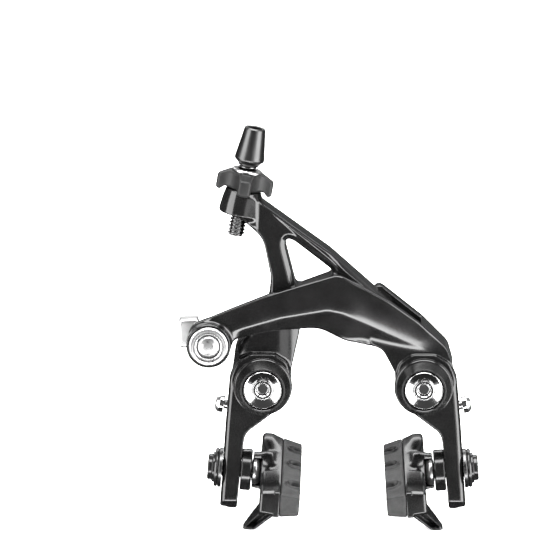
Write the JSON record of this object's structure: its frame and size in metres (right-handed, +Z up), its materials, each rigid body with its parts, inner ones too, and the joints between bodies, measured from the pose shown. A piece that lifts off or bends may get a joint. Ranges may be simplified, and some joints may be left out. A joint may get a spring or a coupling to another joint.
{
  "type": "rim brake caliper",
  "caption": "Direct-mount rim brake caliper with two pivoted arms, a strut-braced yoke, a barrel adjuster, a cable clamp and pads that close on a wheel rim.",
  "frame": {"origin": "midway between the axes of the two mounting bolts, on the plane where the caliper seats on the fork", "axes": "+X to the right seen from the front, +Y back into the fork along the bolts, +Z up"},
  "size_m": [0.1053, 0.0542, 0.139],
  "materials": {
    "black_anodised": "gloss black anodised",
    "black_steel": "satin black",
    "polished_metal": "polished",
    "satin_metal": "satin",
    "dark_metal": "satin dark grey anodised",
    "dark_plastic": "moulded, fine grain",
    "bearing_bronze": "sintered",
    "pad_rubber_grey": "moulded, matte",
    "chrome": "bright"
  },
  "bodies": {
    "fork_mount": {"left_pivot_bolt": "polished_metal", "left_pivot_flange": "black_steel", "left_seal_ring": "black_steel", "left_pivot_sleeve": "satin_metal", "right_pivot_bolt": "polished_metal", "right_pivot_flange": "black_steel", "right_seal_ring": "black_steel", "right_pivot_sleeve": "satin_metal"},
    "right_arm": {"right_arm": "black_anodised", "right_arm_bush": "bearing_bronze", "right_return_spring": "satin_metal", "right_tension_screw": "chrome", "clamp_barrel": "satin_metal", "clamp_cap": "satin_metal", "cable_washer": "satin_metal", "cable_anchor_bolt": "black_steel"},
    "left_arm": {"left_arm": "black_anodised", "left_arm_bush": "bearing_bronze", "left_return_spring": "satin_metal", "left_tension_screw": "chrome", "contact_pin": "satin_metal"},
    "release_lever": {"release_lever": "polished_metal"},
    "contact_roller": {"contact_roller": "satin_metal"},
    "adjuster_knob": {"adjuster_knob": "dark_plastic", "adjuster_washer": "satin_metal"},
    "adjuster_barrel": {"adjuster_barrel": "black_steel", "adjuster_cap": "dark_metal"},
    "left_pad_stack": {"left_pad_bolt": "black_steel", "left_pad_nut": "black_steel", "left_outer_washer": "dark_metal", "left_toothed_washer": "black_steel", "left_spacer_washer": "black_steel", "left_convex_washer": "satin_metal"},
    "left_pad": {"left_pad_holder": "black_anodised", "left_pad_rubber": "pad_rubber_grey"},
    "right_pad_stack": {"right_pad_bolt": "black_steel", "right_pad_nut": "black_steel", "right_outer_washer": "dark_metal", "right_toothed_washer": "black_steel", "right_spacer_washer": "black_steel", "right_convex_washer": "satin_metal"},
    "right_pad": {"right_pad_holder": "black_anodised", "right_pad_rubber": "pad_rubber_grey"}
  },
  "joints": [
    {"name": "right_arm_pivot", "type": "hinge", "parent": "fork_mount", "child": "right_arm", "pos_m": [0.028, -0.0117, 0], "axis": [0, 1, 0], "range_deg": [0, 8.5], "stiffness_Nm_per_rad": 0.8, "springref_deg": -28.65},
    {"name": "left_arm_pivot", "type": "hinge", "parent": "fork_mount", "child": "left_arm", "pos_m": [-0.028, -0.0117, 0], "axis": [0, -1, 0], "range_deg": [0, 8.7]},
    {"name": "release_lever_turn", "type": "hinge", "parent": "right_arm", "child": "release_lever", "pos_m": [-0.0468, -0.0155, 0.0152], "axis": [0, -1, 0], "range_deg": [0, 75]},
    {"name": "contact_roller_spin", "type": "hinge", "parent": "left_arm", "child": "contact_roller", "pos_m": [0.0122, -0.01345, 0.02535], "axis": [0, 1, 0], "continuous": true},
    {"name": "knob_turn", "type": "hinge", "parent": "left_arm", "child": "adjuster_knob", "pos_m": [-0.0377, -0.0135, 0.0521], "axis": [0.1805, 0, 0.9836], "range_deg": [0, 1586]},
    {"name": "barrel_slide", "type": "slide", "parent": "left_arm", "child": "adjuster_barrel", "axis": [0.1805, 0, 0.9836], "range_m": [0, 0.0055]},
    {"name": "left_pad_height", "type": "slide", "parent": "left_arm", "child": "left_pad_stack", "axis": [0.0785, 0, 0.9969], "range_m": [-0.0025, 0.0025]},
    {"name": "left_pad_tilt", "type": "hinge", "parent": "left_pad_stack", "child": "left_pad", "pos_m": [-0.0391, -0.0165, -0.0311], "axis": [-0.9969, 0, 0.0785], "range_deg": [-6, 6]},
    {"name": "right_pad_height", "type": "slide", "parent": "right_arm", "child": "right_pad_stack", "axis": [-0.0785, 0, 0.9969], "range_m": [-0.0025, 0.0025]},
    {"name": "right_pad_tilt", "type": "hinge", "parent": "right_pad_stack", "child": "right_pad", "pos_m": [0.0391, -0.0165, -0.0311], "axis": [0.9969, 0, 0.0785], "range_deg": [-6, 6]}
  ],
  "couplings": [
    {"joint": "left_arm_pivot", "follows": "right_arm_pivot", "ratio": 1},
    {"joint": "knob_turn", "follows": "barrel_slide", "rad_per_m": 5026.5}
  ]
}
